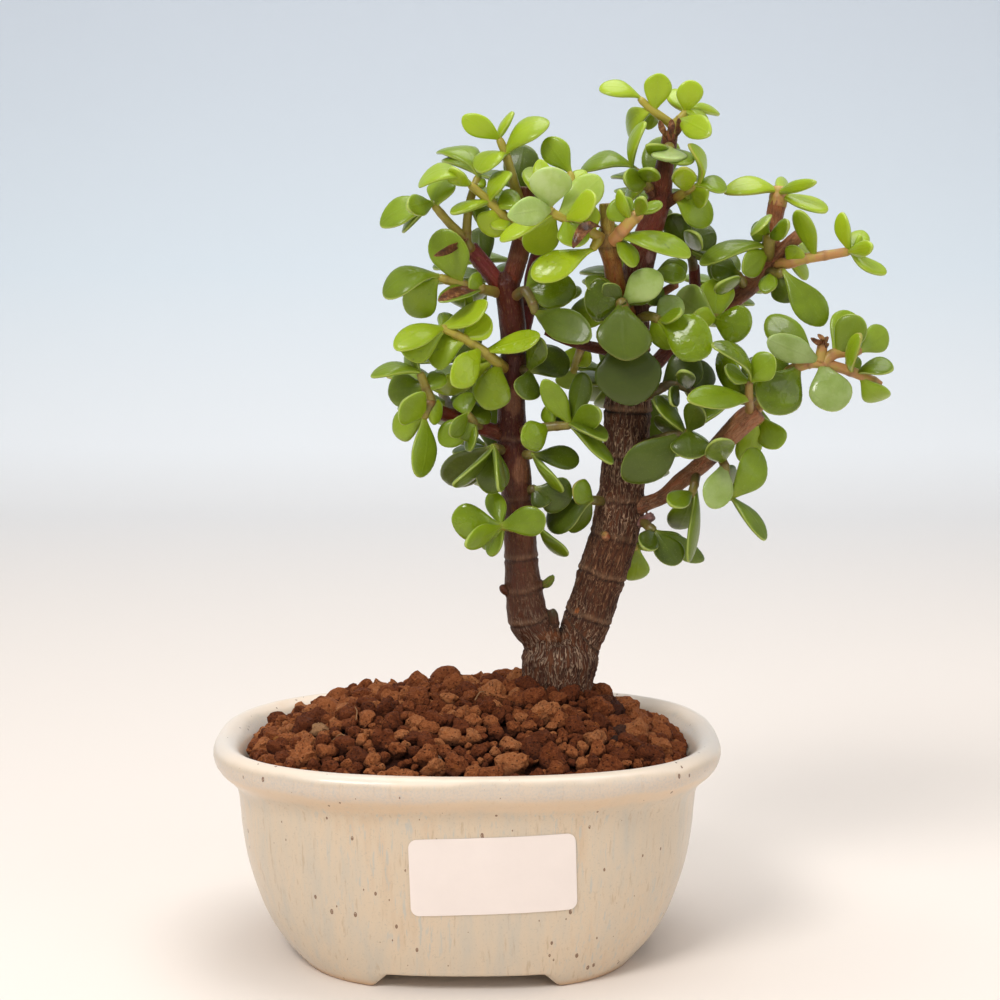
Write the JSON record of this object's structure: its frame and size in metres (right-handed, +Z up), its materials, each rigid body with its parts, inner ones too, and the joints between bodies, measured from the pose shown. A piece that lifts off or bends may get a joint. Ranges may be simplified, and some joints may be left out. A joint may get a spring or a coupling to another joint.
{
  "type": "potted dwarf jade bonsai",
  "caption": "Small dwarf jade bonsai with two trunks and thick round leaves, in a rounded cream glazed pot with red-brown granular soil.",
  "frame": {"origin": "middle of the whole object's bounding box in plan, on the surface that the pot's feet stand on", "axes": "+Z up, +X to the right as the labelled front of the pot is seen, towards the side that the crown leans to, and -Y out of the labelled front"},
  "size_m": [0.197, 0.1114, 0.254],
  "materials": {
    "glaze": "satin cream glaze with tan and grey-blue streaks",
    "soil": "matt baked clay granules",
    "bark": "matt ringed bark",
    "old_leaf": "waxy semi-gloss",
    "young_leaf": "waxy semi-gloss",
    "label": "matt white paper",
    "mesh": "matt black"
  },
  "bodies": {
    "root": {"pot": "glaze", "soil": "soil", "blank_label": "label", "drain_mesh_left": "mesh", "drain_mesh_right": "mesh", "trunk_and_branches": "bark", "shoot_left_crown": "young_leaf", "shoot_left_limb": "young_leaf", "shoot_left_arch": "young_leaf", "shoot_centre_crown": "young_leaf", "shoot_collar_right": "young_leaf", "shoot_high_left": "young_leaf", "shoot_top": "young_leaf", "shoot_top_collar": "old_leaf", "shoot_high_right": "old_leaf", "shoot_dark_stem_top": "old_leaf", "shoot_fork_top": "young_leaf", "shoot_fork_front": "old_leaf", "shoot_outer_shoot": "young_leaf", "shoot_outer_low": "old_leaf", "shoot_right_branch_front": "old_leaf", "shoot_right_branch_back": "old_leaf", "shoot_front_node": "old_leaf", "shoot_front_right": "old_leaf", "shoot_trunk_right_high": "old_leaf", "shoot_centre_left": "old_leaf", "shoot_gap_shoot": "old_leaf", "shoot_left_trunk_right": "old_leaf", "shoot_centre_back": "young_leaf", "shoot_left_mid": "old_leaf", "shoot_left_yellow": "young_leaf", "shoot_lower_tip": "old_leaf", "shoot_lower_mid": "old_leaf", "shoot_left_trunk_low": "old_leaf", "shoot_left_trunk_young": "old_leaf", "shoot_gap_high": "old_leaf", "shoot_gap_mid": "old_leaf", "shoot_gap_low": "old_leaf", "shoot_gap_right": "old_leaf", "shoot_right_mid": "old_leaf", "shoot_low_front": "old_leaf", "shoot_low_drop": "old_leaf", "shoot_low_blade": "old_leaf", "shoot_lowest": "old_leaf", "shoot_trunk_low_back": "old_leaf", "shoot_right_end_up": "old_leaf", "shoot_right_end": "old_leaf", "shoot_right_end_under": "old_leaf", "shoot_back_left_low": "old_leaf", "shoot_back_left_mid": "old_leaf", "shoot_back_left_high": "old_leaf", "shoot_back_limb": "old_leaf", "shoot_back_right_low": "old_leaf", "shoot_back_right_mid": "old_leaf", "shoot_back_right_high": "old_leaf", "shoot_back_top": "old_leaf", "shoot_back_branch": "old_leaf", "shoot_back_branch_end": "old_leaf", "shoot_back_lower_left": "old_leaf"}
  },
  "joints": []
}
